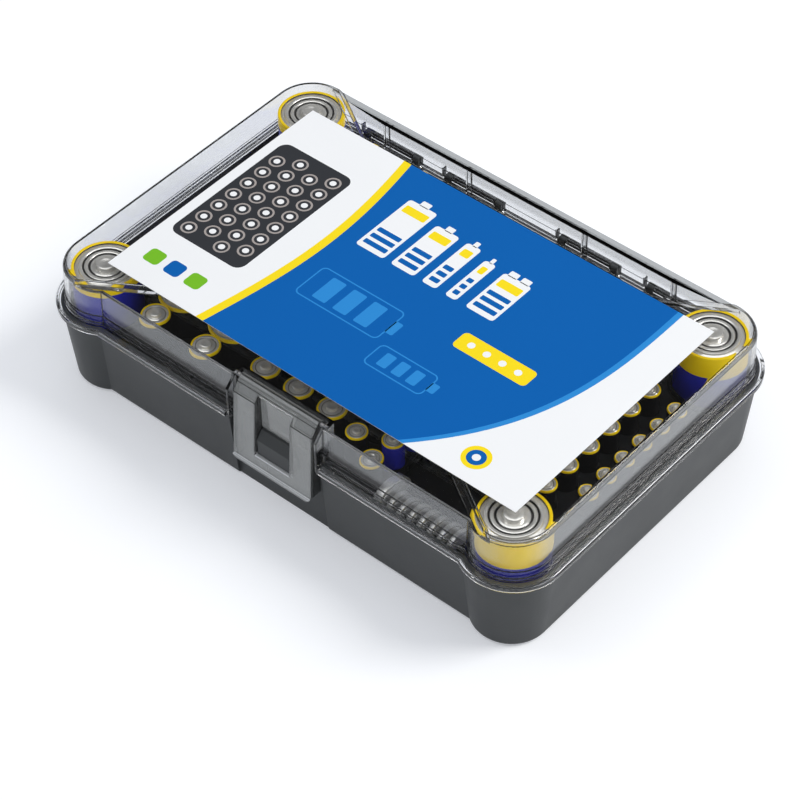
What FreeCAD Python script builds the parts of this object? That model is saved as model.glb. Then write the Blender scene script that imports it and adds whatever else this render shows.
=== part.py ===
import FreeCAD, Part
import os
import re

import Sketcher
from FreeCAD import Placement, Rotation, Vector

# Battery organiser case: a dark tub with trays of upright batteries, under a clear lid that is hinged
# along the back and held at the front by a flip latch. +X runs along the case, -Y is the latch side,
# +Z is up, and the origin is on the ground under the middle of the case. Sizes are in millimetres.

doc = FreeCAD.newDocument("battery_organiser_case")
sheet = doc.addObject("Spreadsheet::Sheet", "sizes")

SIZES = {
    # case and base shell
    "case_length": 295.0, "case_width": 195.0, "case_height": 70.0,
    "base_height": 44.9, "rim_radius": 23.2, "foot_radius": 18.8, "base_wall": 2.0, "base_floor": 2.2,
    "front_setback": 3.6, "foot_round": 3.0, "seat_radius": 11.0, "seat_height": 2.6,
    # lid shell
    "lid_gap": 0.3, "flange_radius": 25.5, "flange_thickness": 1.5, "flange_setback": 3.5,
    "flange_round": 1.2, "skirt_drop": 1.7, "skirt_wall": 1.5, "skirt_stop": 90.0,
    "lid_foot_radius": 21.0, "lid_top_radius": 20.2, "lid_setback": 4.2, "lid_wall": 1.8, "lid_round": 3.0,
    "low_step_rise": 1.6, "low_step_out": 0.5, "high_step_rise": 5.5, "high_step_out": 0.15,
    "margin_drop": 2.5, "margin_width": 28.0, "margin_slope": 2.3, "margin_run": 23.9,
    "margin_rise": 15.0, "margin_mark_inset": 34.9, "margin_mark_setback": 9.3,
    "rib_depth": 3.0, "rib_width": 1.2,
    # printed card on the lid
    "card_length": 243.0, "card_width": 143.5, "card_thickness": 0.3, "card_shift": 2.6, "card_drop": 1.9,
    # latch, its bay, its pin and the catch; depths are measured back from the front of the case
    "bay_half": 27.7, "bay_depth": 11.5, "bay_wall": 2.0, "cheek_half": 27.2, "cheek_wall": 1.5,
    "cheek_depth": 4.6, "cheek_top_depth": 10.5, "cheek_slope": 6.0, "cheek_drop": 2.4,
    "lid_bay_depth": 15.2, "latch_half": 23.7, "latch_wall": 1.7, "latch_rim": 1.6,
    "latch_edge_depth": 11.5, "latch_edge_drop": 1.5, "latch_crease_depth": 6.0,
    "latch_crease_drop": 8.6, "latch_foot_depth": 3.5, "latch_foot": 23.5, "latch_lip_depth": 2.3,
    "latch_lip_drop": 1.7, "latch_back_depth": 10.9, "finger_half": 10.3, "finger_depth": 9.5,
    "finger_top": 64.0, "window_top": 44.0, "window_foot": 29.5, "finger_wall": 1.4,
    "latch_corner": 3.0, "latch_top_wall": 1.4, "latch_top_drop": 1.0, "latch_inner_drop": 0.6,
    "pin_depth": 12.3, "pin_drop": 3.9, "pin_radius": 1.0, "eye_radius": 2.0,
    "catch_half": 9.8, "catch_reach": 6.3, "catch_foot": 30.0, "catch_face": 9.0, "catch_top": 43.4,
    "pin_clearance": 0.05,
    # hinges
    "hinge_inner": 35.3, "hinge_outer": 87.7, "hinge_lug_pitch": 31.0, "lug_thickness": 4.0,
    "knuckle_radius": 2.1, "hinge_rod_radius": 0.9, "hinge_height": 47.2, "knuckle_gap": 0.4,
    "web_low": 1.0, "web_high": 1.9, "relief_depth": 0.5,
    "notch_half": 19.0, "notch_gap": 0.3, "notch_top": 53.0, "tab_width": 0.8, "lug_foot": 36.0,
    # trays
    "main_deck": 38.0, "end_deck": 33.5, "deck_thickness": 2.0, "tray_gap": 0.3, "split": 51.9,
    "well_clearance": 0.3, "well_wall": 1.0, "well_floor": 0.6, "collar_wall": 1.5, "collar_rise": 2.0,
    "collar_depth": 10.0,
    # round cells: radius, length, top stud radius and height, rim width, depth of the sunk top
    "d_radius": 16.7, "d_length": 61.5, "d_stud": 4.75, "d_stud_rise": 1.5, "d_rim": 1.5, "d_sink": 1.2,
    "c_radius": 13.0, "c_length": 50.0, "c_stud": 3.75, "c_stud_rise": 1.5, "c_rim": 1.2, "c_sink": 1.0,
    "aa_radius": 7.1, "aa_length": 50.5, "aa_stud": 2.75, "aa_stud_rise": 1.0, "aa_rim": 0.9, "aa_sink": 0.7,
    "aaa_radius": 5.25, "aaa_length": 44.5, "aaa_stud": 1.9, "aaa_stud_rise": 0.8, "aaa_rim": 0.7,
    "aaa_sink": 0.6,
    "small_radius": 4.15, "small_length": 42.5, "small_stud": 1.6, "small_stud_rise": 0.8,
    "small_rim": 0.6, "small_sink": 0.5, "cell_edge": 0.35, "cap_play": 0.05, "cap_sheet": 0.4,
    # where the round cells stand
    "c_foot": 7.0, "c_left": -88.3, "c_right": -56.4, "c_front": -54.6, "c_pitch": 27.2,
    "row_end": 74.85, "row_end_foot": 6.6,
    "aa_foot": 2.8, "aa_left": -28.5, "aa_row_pitch": 20.2, "aa_front": -64.9, "aa_pitch": 16.7,
    "aaa_foot": 8.6, "aaa_left": 29.9, "aaa_right": 45.8, "aaa_left_front": -68.8,
    "aaa_right_front": -76.6, "aaa_pitch": 14.3, "aaa_back": 69.5,
    "end_foot": 2.8, "end_left": 95.4, "end_left_front": -27.8, "end_left_pitch": 14.8,
    "end_right": 111.0, "end_right_front": -35.2, "end_right_pitch": 15.2,
    "small_foot": 3.5, "small_front": -26.0, "small_pitch": 13.1, "small_inset": 20.5,
    "spare_left": 67.3, "spare_pitch": 9.8, "spare_back": 42.6, "spare_foot": 12.0,
    # nine volt blocks
    "block_length": 26.5, "block_width": 17.5, "block_height": 45.6, "block_round": 2.2,
    "block_foot": 3.2, "block_front": -43.9, "block_pitch": 21.8, "block_inset": 25.9,
    "snap_pitch": 12.7, "snap_rise": 2.9, "stud_snap_radius": 2.9, "socket_snap_radius": 4.1,
    "socket_floor": 1.0,
    # coin cells on edge, spare slots and the bin
    "coin_radius": 10.0, "coin_thickness": 3.2, "coin_left": 61.25, "coin_pitch": 5.8,
    "coin_front": -77.0, "coin_foot": 19.4, "big_coin_radius": 12.25, "big_coin_thickness": 5.0,
    "big_coin_left": 55.2, "big_coin_front": -75.0, "big_coin_foot": 17.8,
    "slot_left": 62.0, "slot_back": 11.0, "slot_foot": 23.0,
    "bin_left": 66.0, "bin_right": 87.4, "bin_front": -50.0, "bin_back": -7.0, "bin_floor": 8.0,
    "rack_lip": 0.2, "rack_back": 33.2,
}

KINDS = ("d", "c", "aa", "aaa", "small")
TOWERS = (("", ""), ("-", ""), ("-", "-"), ("", "-"))
C_COUNT, AA_COUNT, AA_ROWS, AAA_COUNT, BLOCK_COUNT, COIN_COUNT = 5, 8, 3, 11, 5, 7
END_LEFT_COUNT, END_RIGHT_COUNT, SMALL_COUNT, SPARE_COUNT, SLOT_COUNT = 4, 6, 6, 4, 5

# Places worked out from the sizes above; FAR clears the whole case, and PAST is how far a cutter runs
# past the face that it cuts
CORNER_X = "(case_length / 2 - flange_radius)"
CORNER_Y = "(case_width / 2 - flange_radius)"
FRONT = "(-case_width / 2)"
BACK = "(case_width / 2)"
LID_TOP = "(case_height - card_thickness)"
PLATE = "(base_height + lid_gap)"
FLANGE_TOP = f"({PLATE} + flange_thickness)"
MARGIN_TOP = f"({LID_TOP} - margin_drop)"
MARGIN_EDGE = f"({BACK} - margin_width)"
MARK_X = "(case_length / 2 - margin_mark_inset)"
AXIS_Y = f"({BACK} - knuckle_radius)"
PIN_Y = f"({FRONT} + pin_depth)"
PIN_Z = f"({LID_TOP} - pin_drop)"
RACK_FRONT = "(bin_front - well_wall - rack_lip)"
RACK_SIDE = "(bin_right + well_wall + rack_lip)"
RACK_CORNER = (f"(spare_left + {SPARE_COUNT - 1} * spare_pitch + small_radius + well_clearance + well_wall"
               " + rack_lip)")
FAR = "200"
PAST = "1"


def fill_sheet():
    """One row for each driving size: its name and its plain number."""
    for row, (name, number) in enumerate(SIZES.items(), start=1):
        sheet.set(f"A{row}", name)
        sheet.set(f"B{row}", f"{number:g}")
        sheet.setAlias(f"B{row}", name)
    doc.recompute()


def linked(formula):
    """The formula with each size's name turned into a reference to its cell."""
    return re.sub(r"[a-z_]+", lambda word: ("sizes." if word.group() in SIZES else "") + word.group(),
                  formula)


def number(formula):
    """The formula's value in millimetres."""
    return float(sheet.evalExpression(formula))


def bind(item, **formulas):
    """Bind an object's properties to formulas; a double underscore stands for a dot."""
    for name, formula in formulas.items():
        item.setExpression(name.replace("__", "."), linked(formula))


def place(item, x="0", y="0", z="0"):
    bind(item, Placement__Base__x=x, Placement__Base__y=y, Placement__Base__z=z)
    return item


def box(name, x, y, z):
    """A block between two formulas on each axis."""
    item = doc.addObject("Part::Box", name)
    bind(item, Length=f"({x[1]}) - ({x[0]})", Width=f"({y[1]}) - ({y[0]})", Height=f"({z[1]}) - ({z[0]})")
    return place(item, x[0], y[0], z[0])


def post(name, radius, x, y, z):
    """An upright round post from z[0] to z[1]."""
    item = doc.addObject("Part::Cylinder", name)
    bind(item, Radius=radius, Height=f"({z[1]}) - ({z[0]})")
    return place(item, x, y, z[0])


def cross_rod(name, radius, x, y, z):
    """A round rod along X from x[0] to x[1]."""
    item = doc.addObject("Part::Cylinder", name)
    bind(item, Radius=radius, Height=f"({x[1]}) - ({x[0]})")
    item.Placement = Placement(Vector(), Rotation(Vector(0, 1, 0), 90))
    return place(item, x[0], y, z)


def fuse(name, *items):
    item = doc.addObject("Part::MultiFuse", name)
    item.Shapes = list(items)
    item.Refine = True
    return item


def cut(name, base, *tools):
    item = doc.addObject("Part::Cut", name)
    item.Base = base
    item.Tool = tools[0] if len(tools) == 1 else fuse(f"{name}_tools", *tools)
    item.Refine = True
    return item


def common(name, base, tool):
    item = doc.addObject("Part::Common", name)
    item.Base = base
    item.Tool = tool
    return item


def group(name, items):
    """Separate solids that share one node."""
    item = doc.addObject("Part::Compound", name)
    item.Links = list(items)
    return item


def drafted_slab(name, low_z, high_z, low, high):
    """A block whose plan changes evenly from low to high; a plan is its half length, front and back."""
    slab = doc.addObject("Part::Wedge", name)
    slab.Placement = Placement(Vector(), Rotation(Vector(1, 0, 0), 90))
    bind(slab, Ymin="0", Ymax=f"({high_z}) - ({low_z})")
    for mark, (half, front, back) in (("", low), ("2", high)):
        bind(slab, **{f"X{mark}min": f"-({half})", f"X{mark}max": half})
        bind(slab, **{f"Z{mark}min": f"-({back})", f"Z{mark}max": front})
    return place(slab, z=low_z)


def tub(name, low_radius, low_z, high_radius, high_z, setback):
    """The case's plan as a drafted block: four corner towers, and walls tangent to them except the front
    wall, which stands back from the towers."""
    parts = []
    for sign_x, sign_y in TOWERS:
        tower = doc.addObject("Part::Cone", f"{name}_tower")
        bind(tower, Radius1=low_radius, Radius2=high_radius, Height=f"({high_z}) - ({low_z})")
        parts.append(place(tower, f"{sign_x}{CORNER_X}", f"{sign_y}{CORNER_Y}", low_z))
    radii = (low_radius, high_radius)
    across = [(f"{CORNER_X} + ({radius})", CORNER_Y, CORNER_Y) for radius in radii]
    along = [(CORNER_X, f"{CORNER_Y} + ({radius}) - ({setback})", f"{CORNER_Y} + ({radius})")
             for radius in radii]
    for plans in (across, along):
        parts.append(drafted_slab(f"{name}_walls", low_z, high_z, *plans))
    return fuse(name, *parts)


def base_radius(z):
    """The base's drafted outer corner radius at a height."""
    return f"(foot_radius + (rim_radius - foot_radius) * ({z}) / base_height)"


def lid_radius(z):
    """The lid's drafted outer corner radius at a height."""
    rise = f"(({z}) - {PLATE}) / ({LID_TOP} - {PLATE})"
    return f"(lid_foot_radius - (lid_foot_radius - lid_top_radius) * {rise})"


def round_edges(name, base, radius, chosen):
    """Round the edges of a solid that a test picks."""
    doc.recompute()
    item = doc.addObject("Part::Fillet", name)
    item.Base = base
    size = number(radius)
    edges = enumerate(base.Shape.Edges, start=1)
    item.Edges = [(entry, size, size) for entry, edge in edges if chosen(edge)]
    return item


def origin_item(body, role):
    return next(item for item in body.Origin.OriginFeatures if item.Role == role)


def new_sketch(body, name, role, height="0"):
    """A sketch on one of the body's own origin planes."""
    sketch = body.newObject("Sketcher::SketchObject", name)
    sketch.AttachmentSupport = [(origin_item(body, role), "")]
    sketch.MapMode = "FlatFace"
    bind(sketch, AttachmentOffset__Base__z=height)
    return sketch


def polygon(sketch, points):
    """A closed outline whose corners are held at formulas."""
    spots = [Vector(number(x), number(y), 0) for x, y in points]
    count = len(spots)
    for step in range(count):
        sketch.addGeometry(Part.LineSegment(spots[step], spots[(step + 1) % count]))
    for step, (x, y) in enumerate(points):
        sketch.addConstraint(Sketcher.Constraint("Coincident", step, 1, (step - 1) % count, 2))
        for kind, formula in (("DistanceX", x), ("DistanceY", y)):
            spot = number(formula)
            entry = sketch.addConstraint(Sketcher.Constraint(kind, -1, 1, step, 1, spot))
            sketch.setExpression(f"Constraints[{entry}]", linked(formula))
    return sketch


def side_block(name, half, points):
    """A body whose Y-Z outline runs the same distance each way from the middle plane."""
    body = doc.addObject("PartDesign::Body", name)
    pad = body.newObject("PartDesign::Pad", f"{name}_pad")
    pad.Profile = polygon(new_sketch(body, f"{name}_outline", "YZ_Plane"), points)
    pad.SideType = "Symmetric"
    bind(pad, Length=f"2 * ({half})")
    return body


def shifted(item, name, x):
    """A copy of a finished shape, moved along X."""
    doc.recompute()
    copy = doc.addObject("Part::Feature", name)
    copy.Shape = item.Shape
    copy.Placement = Placement(Vector(number(x), 0, 0), Rotation())
    return copy


def hinge_places():
    return ("-hinge_outer", "-hinge_inner", "hinge_inner", "hinge_outer")


def around(middle, half):
    return (f"({middle}) - ({half})", f"({middle}) + ({half})")


# Base shell --------------------------------------------------------------------------------------

def hinge_lug(name):
    """One hinge ear: a rounded head round the rod over a leg on the back wall."""
    wall = f"{CORNER_Y} + {base_radius('lug_foot')} - base_wall / 2"
    leg = side_block(f"{name}_leg", "lug_thickness / 2", (
        (wall, "lug_foot"), (BACK, f"lug_foot + {BACK} - ({wall})"), (BACK, "hinge_height"),
        (f"{AXIS_Y} - knuckle_radius", "hinge_height"),
        (f"{AXIS_Y} - knuckle_radius", f"base_height - {PAST}"), (wall, f"base_height - {PAST}")))
    thick = around("0", "lug_thickness / 2")
    head = cross_rod(f"{name}_head", "knuckle_radius", thick, AXIS_Y, "hinge_height")
    bore = cross_rod(f"{name}_bore", "hinge_rod_radius + pin_clearance", around("0", "lug_thickness"),
                     AXIS_Y, "hinge_height")
    return cut(name, fuse(f"{name}_solid", leg, head), bore)


def make_base_shell():
    top = f"base_height + {PAST}"
    outer = tub("base_outer", "foot_radius", "0", "rim_radius", "base_height", "front_setback")
    rounded = round_edges("base_rounded", outer, "foot_round", lambda edge: edge.BoundBox.ZMax < 0.01)
    cavity = tub("base_cavity", f"{base_radius('base_floor')} - base_wall", "base_floor",
                 f"{base_radius(top)} - base_wall", top, "front_setback")
    bay_face = f"{FRONT} + bay_depth"
    bay_inside = box("bay_inside", around("0", "bay_half + bay_wall"), (bay_face, f"{bay_face} + bay_wall"),
                     ("base_floor", "base_height"))
    bay = box("bay_cut", around("0", "bay_half"), (f"{FRONT} - {PAST}", bay_face), (f"-{PAST}", top))
    reliefs = [box("rim_relief", around(spot, "hinge_lug_pitch / 2 - lug_thickness / 2"),
                   (f"{CORNER_Y} + rim_radius - 2 * base_wall", BACK), ("base_height - relief_depth", top))
               for spot in hinge_places()]
    shell = fuse("base_walls", cut("base_hollow", rounded, cavity), bay_inside)
    shell = cut("base_with_bay", shell, bay, *reliefs)
    catch = side_block("catch", "catch_half", (
        (f"{bay_face} + bay_wall / 2", "catch_foot"), (f"{bay_face} - catch_reach", "catch_foot"),
        (f"{bay_face} - catch_reach", "catch_foot + catch_face"),
        (f"{bay_face} - catch_reach / 2", "catch_top"), (f"{bay_face} + bay_wall / 2", "catch_top")))
    seats = [post("cell_seat", "seat_radius", f"{sign_x}{CORNER_X}", f"{sign_y}{CORNER_Y}",
                  ("base_floor / 2", "base_floor + seat_height")) for sign_x, sign_y in TOWERS]
    lug = hinge_lug("hinge_lug")
    lugs = [shifted(lug, "hinge_lug_copy", f"{spot} {sign} hinge_lug_pitch / 2")
            for spot in hinge_places() for sign in "+-"]
    return fuse("base_shell", shell, catch, *seats, *lugs)


# Trays -------------------------------------------------------------------------------------------

def row(first, pitch, count):
    return [f"({first}) + {step} * ({pitch})" for step in range(count)]


def main_places():
    """Where each kind of round cell stands in the main tray: (kind, x, y, foot height)."""
    places = []
    for x in ("c_left", "c_right"):
        places += [("c", x, y, "c_foot") for y in row("c_front", "c_pitch", C_COUNT)]
        places += [("aa", x, f"{sign}row_end", "row_end_foot") for sign in ("", "-")]
    for x in row("aa_left", "aa_row_pitch", AA_ROWS):
        places += [("aa", x, y, "aa_foot") for y in row("aa_front", "aa_pitch", AA_COUNT)]
        places.append(("aaa", x, "aaa_back", "aaa_foot"))
    for x, first in (("aaa_left", "aaa_left_front"), ("aaa_right", "aaa_right_front")):
        places += [("aaa", x, y, "aaa_foot") for y in row(first, "aaa_pitch", AAA_COUNT)]
    return places


def end_aaa_places():
    left = row("end_left_front", "end_left_pitch", END_LEFT_COUNT)
    right = row("end_right_front", "end_right_pitch", END_RIGHT_COUNT)
    return [("aaa", x, y, "end_foot") for x, ys in (("end_left", left), ("end_right", right)) for y in ys]


def small_places():
    x = "case_length / 2 - small_inset"
    return [("small", x, y, "small_foot") for y in row("small_front", "small_pitch", SMALL_COUNT)]


def spare_places():
    return [("small", x, "spare_back", "spare_foot") for x in row("spare_left", "spare_pitch", SPARE_COUNT)]


def block_places():
    x = "-case_length / 2 + block_inset"
    return [(x, y) for y in row("block_front", "block_pitch", BLOCK_COUNT)]


def coin_places():
    """Coin cells on edge: (radius, thickness, middle x, middle y, foot height)."""
    places = [("coin_radius", "coin_thickness", x, "coin_front", "coin_foot")
              for x in row("coin_left", "coin_pitch", COIN_COUNT)]
    places.append(("big_coin_radius", "big_coin_thickness", "big_coin_left", "big_coin_front",
                   "big_coin_foot"))
    return places


def deck_solid(name, deck):
    """A tray's deck, a little wider than its share of the base."""
    under = f"{deck} - deck_thickness"
    return tub(f"{name}_deck", base_radius(under), under, base_radius(under), deck, "front_setback")


def tray_room(name, side):
    """The space a tray may fill: within the base's walls, clear of the latch bay, on its side of the
    split."""
    top = "base_height"
    room = tub(f"{name}_room", f"{base_radius('base_floor')} - base_wall - tray_gap", "base_floor",
               f"{base_radius(top)} - base_wall - tray_gap", top, "front_setback")
    bay = box(f"{name}_bay", around("0", "bay_half + bay_wall + tray_gap"),
              (f"{FRONT} - {PAST}", f"{FRONT} + bay_depth + bay_wall + tray_gap"), ("0", "case_height"))
    beyond = ("split - tray_gap / 2", FAR) if side < 0 else (f"-{FAR}", "split + tray_gap / 2")
    other = box(f"{name}_other_side", beyond, (f"-{FAR}", FAR), ("0", "case_height"))
    return cut(f"{name}_share", room, bay, other)


def wells(name, places, deck):
    """The tubes under a deck that the cells stand in, and the bores through them."""
    tubes = []
    bores = []
    for kind, x, y, foot in places:
        bore = f"{kind}_radius + well_clearance"
        tubes.append(post(f"{name}_tube", f"{bore} + well_wall", x, y, (f"{foot} - well_floor", deck)))
        bores.append(post(f"{name}_bore", bore, x, y, (foot, f"{deck} + {PAST}")))
    return tubes, bores


def collars(name, deck, sign_x):
    """Rings in the deck that steady the two large cells at one end."""
    bore = "d_radius + 2 * well_clearance"
    ends = [(f"{sign_x}{CORNER_X}", f"{sign_y}{CORNER_Y}") for sign_y in ("", "-")]
    rings = [post(f"{name}_collar", f"{bore} + collar_wall", x, y,
                  (f"{deck} - collar_depth", f"{deck} + collar_rise")) for x, y in ends]
    holes = [post(f"{name}_collar_bore", bore, x, y, ("0", "case_height")) for x, y in ends]
    return rings, holes


def make_main_tray():
    tubes, bores = wells("main", main_places(), "main_deck")
    rings, holes = collars("main", "main_deck", "-")
    for x, y in block_places():
        half_x, half_y = "block_length / 2 + well_clearance", "block_width / 2 + well_clearance"
        tubes.append(box("block_well", around(x, f"{half_x} + well_wall"),
                         around(y, f"{half_y} + well_wall"), ("block_foot - well_floor", "main_deck")))
        bores.append(box("block_bore", around(x, half_x), around(y, half_y), ("block_foot", "case_height")))
    solid = fuse("main_solid", deck_solid("main", "main_deck"), *tubes, *rings)
    return common("main_tray", cut("main_bored", solid, *bores, *holes), tray_room("main", -1))


def make_end_racks():
    """The end tray's one moulding, divided into five plain racks that meet face to face."""
    tubes, bores = wells("end", end_aaa_places() + small_places() + spare_places(), "end_deck")
    rings, holes = collars("end", "end_deck", "")
    for radius, thickness, x, y, foot in coin_places():
        half_x, half_y = f"{thickness} / 2 + well_clearance", f"{radius} + well_clearance"
        tubes.append(box("coin_well", around(x, f"{half_x} + well_wall"),
                         around(y, f"{half_y} + well_wall"), (f"{foot} - well_floor", "end_deck")))
        bores.append(box("coin_bore", around(x, half_x), around(y, half_y), (foot, "case_height")))
    for x in row("slot_left", "coin_pitch", SLOT_COUNT):
        half_x, half_y = "coin_thickness / 2 + well_clearance", "coin_radius + well_clearance"
        tubes.append(box("slot_well", around(x, f"{half_x} + well_wall"),
                         around("slot_back", f"{half_y} + well_wall"),
                         ("slot_foot - well_floor", "end_deck")))
        bores.append(box("slot_bore", around(x, half_x), around("slot_back", half_y),
                         ("slot_foot", "case_height")))
    tubes.append(box("bin_walls", ("bin_left - well_wall", "bin_right + well_wall"),
                     ("bin_front - well_wall", "bin_back + well_wall"),
                     ("bin_floor - well_wall", "end_deck")))
    bores.append(box("bin_space", ("bin_left", "bin_right"), ("bin_front", "bin_back"),
                     ("bin_floor", "case_height")))
    solid = fuse("end_solid", deck_solid("end", "end_deck"), *tubes, *rings)
    tray = common("end_whole", cut("end_bored", solid, *bores, *holes), tray_room("end", 1))
    front, middle, back = (f"-{FAR}", RACK_FRONT), (RACK_FRONT, "rack_back"), ("rack_back", FAR)
    regions = (("coin_rack", ("0", FAR), front), ("bin_rack", ("0", RACK_SIDE), middle),
               ("end_rack", (RACK_SIDE, FAR), middle), ("spare_rack", ("0", RACK_CORNER), back),
               ("corner_rack", (RACK_CORNER, FAR), back))
    return [common(name, tray, box(f"{name}_region", x, y, ("0", "case_height"))) for name, x, y in regions]


# Cells -------------------------------------------------------------------------------------------

def turned(name, points):
    """A body turned about the upright axis from an outline of (radius, height) corners."""
    body = doc.addObject("PartDesign::Body", name)
    turn = body.newObject("PartDesign::Revolution", f"{name}_turn")
    turn.Profile = polygon(new_sketch(body, f"{name}_outline", "XZ_Plane"), points)
    turn.ReferenceAxis = (origin_item(body, "Z_Axis"), [""])
    turn.Angle = 360.0
    return body


def cell_can(kind):
    """The jacketed can: a plain cylinder with eased ends and a sunk top inside its rim."""
    top = f"{kind}_length - {kind}_stud_rise"
    hollow = f"{kind}_radius - {kind}_rim"
    return turned(f"{kind}_can", (
        ("0", "0"), (f"{kind}_radius - cell_edge", "0"), (f"{kind}_radius", "cell_edge"),
        (f"{kind}_radius", f"{top} - cell_edge"), (f"{kind}_radius - cell_edge", top), (hollow, top),
        (hollow, f"{top} - {kind}_sink"), ("0", f"{top} - {kind}_sink")))


def cell_cap(kind):
    """The steel end: a disc on the sunk top with a stud that rises past the rim."""
    seat = f"{kind}_length - {kind}_stud_rise - {kind}_sink"
    edge = f"{kind}_radius - {kind}_rim - cap_play"
    return turned(f"{kind}_cap", (
        ("0", seat), (edge, seat), (edge, f"{seat} + cap_sheet"), (f"{kind}_stud", f"{seat} + cap_sheet"),
        (f"{kind}_stud", f"{kind}_length - cell_edge"), (f"{kind}_stud - cell_edge", f"{kind}_length"),
        ("0", f"{kind}_length")))


def copies(name, pattern, places):
    """One node of separate solids: the pattern repeated at each (x, y, z)."""
    shapes = [pattern.Shape.translated(Vector(number(x), number(y), number(z))) for x, y, z in places]
    item = doc.addObject("Part::Feature", name)
    item.Shape = Part.makeCompound(shapes)
    return item


def make_round_cells():
    cans = {kind: cell_can(kind) for kind in KINDS}
    caps = {kind: cell_cap(kind) for kind in KINDS}
    doc.recompute()
    towers = [("d", f"{sign_x}{CORNER_X}", f"{sign_y}{CORNER_Y}", "base_floor + seat_height")
              for sign_x, sign_y in TOWERS]
    main = main_places()
    nodes = (("d", "d", towers), ("c", "c", main), ("aa", "aa", main), ("aaa", "aaa", main),
             ("end_aaa", "aaa", end_aaa_places()), ("aaaa", "small", small_places()))
    made = []
    for node, kind, places in nodes:
        spots = [(x, y, foot) for place_kind, x, y, foot in places if place_kind == kind]
        made.append(copies(f"{node}_cells", cans[kind], spots))
        made.append(copies(f"{node}_cell_caps", caps[kind], spots))
    return made


def make_blocks():
    """Nine volt blocks, and on each a small round snap and a larger socket snap."""
    plain = box("block_plain", around("0", "block_length / 2"), around("0", "block_width / 2"),
                ("0", "block_height"))
    block = round_edges("block_shape", plain, "block_round", lambda edge: edge.BoundBox.ZLength > 1)
    snap = ("block_height", "block_height + snap_rise")
    stud = post("stud_snap", "stud_snap_radius", "-snap_pitch / 2", "0", snap)
    socket = post("socket_outer", "socket_snap_radius", "snap_pitch / 2", "0", snap)
    hole = post("socket_hole", "stud_snap_radius", "snap_pitch / 2", "0",
                ("block_height + socket_floor", "case_height"))
    socket = cut("socket_snap", socket, hole)
    snaps = group("snap_pair", (stud, socket))
    doc.recompute()
    spots = [(x, y, "block_foot") for x, y in block_places()]
    return [copies("nine_volt_blocks", block, spots), copies("nine_volt_snaps", snaps, spots)]


def make_coin_cells():
    coins = []
    for radius, thickness, x, y, foot in coin_places():
        coins.append(cross_rod("coin", radius, around(x, f"{thickness} / 2"), y, f"{foot} + {radius}"))
    return group("coin_cells", coins)


# Lid ---------------------------------------------------------------------------------------------

def margin_outline(widen, front):
    """Corners of the lowered lid margin: a long strip that narrows between its slanted ends."""
    slant = "margin_run / margin_rise"
    aside = f"({widen}) * sqrt(margin_run * margin_run + margin_rise * margin_rise) / margin_rise"
    edge = f"({MARGIN_EDGE} - ({widen}))"
    outer = f"{MARK_X} + ({aside}) + margin_mark_setback * {slant}"
    inner = f"{MARK_X} + ({aside}) + (margin_mark_setback - margin_width - ({widen})) * {slant}"
    sign = "-" if front else ""
    corners = ((f"-({outer})", BACK), (f"-({inner})", edge), (inner, edge), (outer, BACK))
    return [(x, f"{sign}{y}") for x, y in corners]


def margin_cutter(name, front):
    """The sloped-sided block that lowers one long margin of the lid's top."""
    body = doc.addObject("PartDesign::Body", name)
    low = polygon(new_sketch(body, f"{name}_low", "XY_Plane", MARGIN_TOP), margin_outline("0", front))
    high = polygon(new_sketch(body, f"{name}_high", "XY_Plane", LID_TOP),
                   margin_outline("margin_slope", front))
    loft = body.newObject("PartDesign::AdditiveLoft", f"{name}_loft")
    loft.Profile = low
    loft.Sections = [high]
    loft.Ruled = True
    return body


def margin_roof(name, front):
    """The block kept out of the lid's hollow so that the lowered margin has its own roof."""
    body = doc.addObject("PartDesign::Body", name)
    pad = body.newObject("PartDesign::Pad", f"{name}_pad")
    pad.Profile = polygon(new_sketch(body, f"{name}_outline", "XY_Plane", f"{MARGIN_TOP} - lid_wall"),
                          margin_outline("margin_slope + lid_wall", front))
    bind(pad, Length="margin_drop + lid_wall")
    return body


def bay_block_outline():
    """Y-Z outline of the cheeks and the wall behind the latch."""
    cheek = f"{FRONT} + cheek_depth"
    step = f"{FRONT} + bay_depth - tray_gap"
    inside = f"{FRONT} + lid_bay_depth + lid_wall"
    foot = f"{PLATE} - cheek_drop"
    return ((inside, PLATE), (step, PLATE), (step, foot), (cheek, foot),
            (cheek, f"{MARGIN_TOP} - cheek_slope"), (f"{FRONT} + cheek_top_depth", MARGIN_TOP),
            (inside, MARGIN_TOP))


def lid_outside():
    """The lid's solid outside with its rounded top and lowered margins."""
    walls = tub("lid_walls", "lid_foot_radius", PLATE, "lid_top_radius", LID_TOP, "lid_setback")
    top = number(LID_TOP)
    rounded = round_edges("lid_rounded", walls, "lid_round", lambda edge: edge.BoundBox.ZMin > top - 0.01)
    return cut("lid_outside", rounded, margin_cutter("front_margin", True),
               margin_cutter("back_margin", False))


def lid_hollow():
    """The space under the lid, which stays open at the bottom."""
    low = f"{PLATE} - {PAST}"
    roof = f"{LID_TOP} - lid_wall"
    hollow = tub("lid_space", f"{lid_radius(low)} - lid_wall", low, f"{lid_radius(roof)} - lid_wall", roof,
                 "lid_setback")
    bay = box("bay_kept", around("0", "cheek_half"),
              (f"{FRONT} - {PAST}", f"{FRONT} + lid_bay_depth + lid_wall"), ("0", "case_height"))
    return cut("lid_hollow", hollow, margin_roof("front_roof", True), margin_roof("back_roof", False), bay)


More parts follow.
